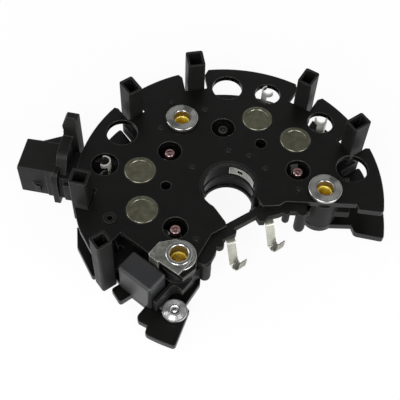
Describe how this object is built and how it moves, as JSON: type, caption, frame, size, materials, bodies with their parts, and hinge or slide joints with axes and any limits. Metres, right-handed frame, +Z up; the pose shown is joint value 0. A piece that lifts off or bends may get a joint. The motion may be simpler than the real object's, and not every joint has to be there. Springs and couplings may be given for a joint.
{
  "type": "alternator rectifier",
  "caption": "C-shaped alternator rectifier: stacked heat sinks with press-fit diodes on a moulded carrier with lead posts, a shaft collar, a plug housing and a capacitor.",
  "frame": {"origin": "on the shaft axis, in the plane of the bushing feet that the part stands on", "axes": "+Z up along the shaft, from the lower heat sink to the upper one; +X from the shaft axis to bolt B on the right arm"},
  "size_m": [0.1511, 0.1247, 0.0351],
  "materials": {
    "black_aluminium": "satin black coat on stamped aluminium",
    "carrier_plastic": "dark grey glass-filled moulding, fine matte grain",
    "diode_cup": "dull olive-grey plated cup",
    "copper_lead": "tarnished copper-coloured lead",
    "resin": "cast black resin",
    "tinned_strip": "bright tin plate",
    "bush_aluminium": "turned bright aluminium",
    "rivet_aluminium": "bright aluminium rivet",
    "chromate_steel": "yellow chromated steel",
    "washer_fibre": "brown fibre washer",
    "capacitor_case": "dark grey moulded case"
  },
  "bodies": {
    "root": {"positive_heat_sink": "black_aluminium", "negative_heat_sink": "black_aluminium", "terminal_carrier": "carrier_plastic", "positive_diode_1": "diode_cup", "positive_lead_1": "copper_lead", "positive_fill_1": "resin", "negative_diode_1": "diode_cup", "negative_lead_1": "copper_lead", "negative_fill_1": "resin", "phase_terminal_1": "tinned_strip", "positive_diode_2": "diode_cup", "positive_lead_2": "copper_lead", "positive_fill_2": "resin", "negative_diode_2": "diode_cup", "negative_lead_2": "copper_lead", "negative_fill_2": "resin", "phase_terminal_2": "tinned_strip", "positive_diode_3": "diode_cup", "positive_lead_3": "copper_lead", "positive_fill_3": "resin", "negative_diode_3": "diode_cup", "negative_lead_3": "copper_lead", "negative_fill_3": "resin", "phase_terminal_3": "tinned_strip", "positive_diode_4": "diode_cup", "positive_lead_4": "copper_lead", "positive_fill_4": "resin", "negative_diode_4": "diode_cup", "negative_lead_4": "copper_lead", "negative_fill_4": "resin", "phase_terminal_4": "tinned_strip", "bushing_a": "bush_aluminium", "sleeve_a": "chromate_steel", "bushing_b": "bush_aluminium", "sleeve_b": "chromate_steel", "bushing_c": "bush_aluminium", "sleeve_c": "chromate_steel", "washer_a": "washer_fibre", "washer_b": "washer_fibre", "output_strap": "tinned_strip", "capacitor_body": "capacitor_case", "ground_tab": "tinned_strip", "ground_rivet": "rivet_aluminium", "regulator_hook_1": "tinned_strip", "regulator_hook_2": "tinned_strip", "collar_contact": "tinned_strip", "plug_pin_1": "tinned_strip", "plug_pin_2": "tinned_strip"}
  },
  "joints": []
}
